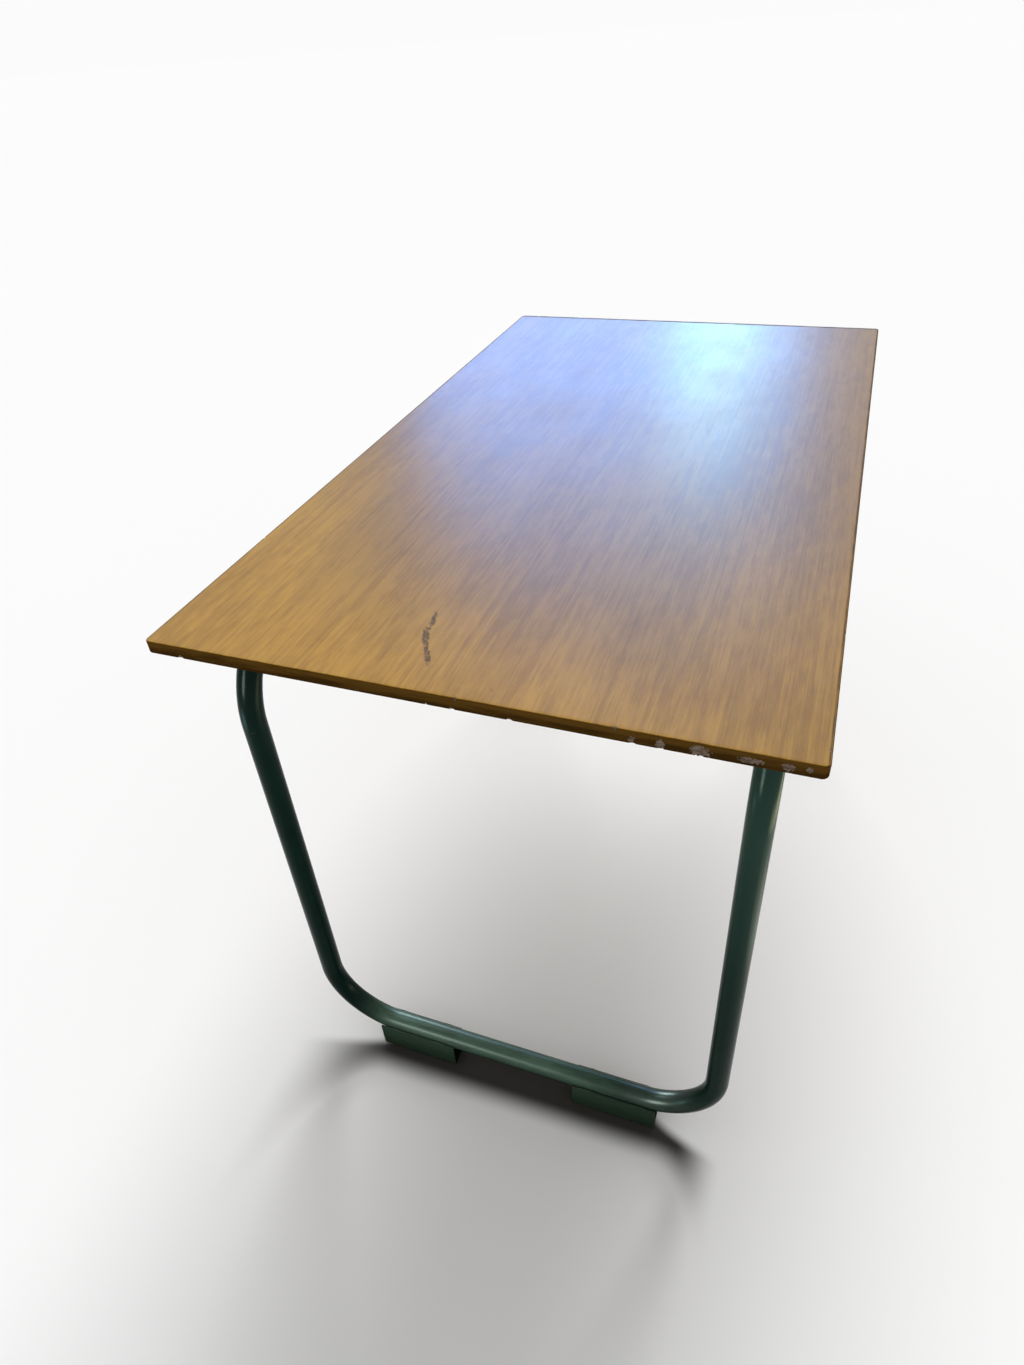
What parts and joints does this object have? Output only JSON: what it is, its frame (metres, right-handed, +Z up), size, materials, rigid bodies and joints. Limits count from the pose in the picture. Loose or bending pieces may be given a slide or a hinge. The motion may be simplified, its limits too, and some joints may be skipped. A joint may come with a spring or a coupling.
{
  "type": "desk",
  "caption": "Desk with a thin rectangular wood-veneered top on a bent steel-tube frame, open U-shaped ends and short channel feet under the floor rails.",
  "frame": {"origin": "on the floor, under the middle of the top", "axes": "+X along the length to the near end of the picture, +Y across the width to the right as seen from that end, +Z up"},
  "size_m": [1.12, 0.64, 0.75],
  "materials": {
    "face_veneer": "varnished veneer, satin to gloss, fine straight grain along the length",
    "backing_veneer": "plain unvarnished veneer",
    "core_board": "raw board",
    "edge_lipping": "dark stained hardwood, chipped",
    "green_enamel": "gloss dark green enamel",
    "shoe_enamel": "scuffed dark green enamel",
    "bare_steel": "drawn steel",
    "zinc_screw": "zinc plated"
  },
  "bodies": {
    "root": {"top_core": "core_board", "top_face_veneer": "face_veneer", "top_backing_veneer": "backing_veneer", "lipping_near_end": "edge_lipping", "lipping_far_end": "edge_lipping", "lipping_left_side": "edge_lipping", "lipping_right_side": "edge_lipping", "end_frame_near": "green_enamel", "end_frame_far": "green_enamel", "cross_tie_near": "green_enamel", "cross_tie_far": "green_enamel", "foot_shoe_near_left": "shoe_enamel", "foot_shoe_near_right": "shoe_enamel", "foot_shoe_far_left": "shoe_enamel", "foot_shoe_far_right": "shoe_enamel", "rail_spigot_left": "bare_steel", "rail_spigot_right": "bare_steel", "spigot_screw_near_left": "zinc_screw", "spigot_screw_near_right": "zinc_screw", "spigot_screw_far_left": "zinc_screw", "spigot_screw_far_right": "zinc_screw", "fixing_lug_near_left_outer": "green_enamel", "fixing_lug_near_left_inner": "green_enamel", "fixing_lug_near_right_outer": "green_enamel", "fixing_lug_near_right_inner": "green_enamel", "fixing_lug_far_left_outer": "green_enamel", "fixing_lug_far_left_inner": "green_enamel", "fixing_lug_far_right_outer": "green_enamel", "fixing_lug_far_right_inner": "green_enamel", "lug_screw_near_left_outer": "zinc_screw", "lug_screw_near_left_inner": "zinc_screw", "lug_screw_near_right_outer": "zinc_screw", "lug_screw_near_right_inner": "zinc_screw", "lug_screw_far_left_outer": "zinc_screw", "lug_screw_far_left_inner": "zinc_screw", "lug_screw_far_right_outer": "zinc_screw", "lug_screw_far_right_inner": "zinc_screw"}
  },
  "joints": []
}
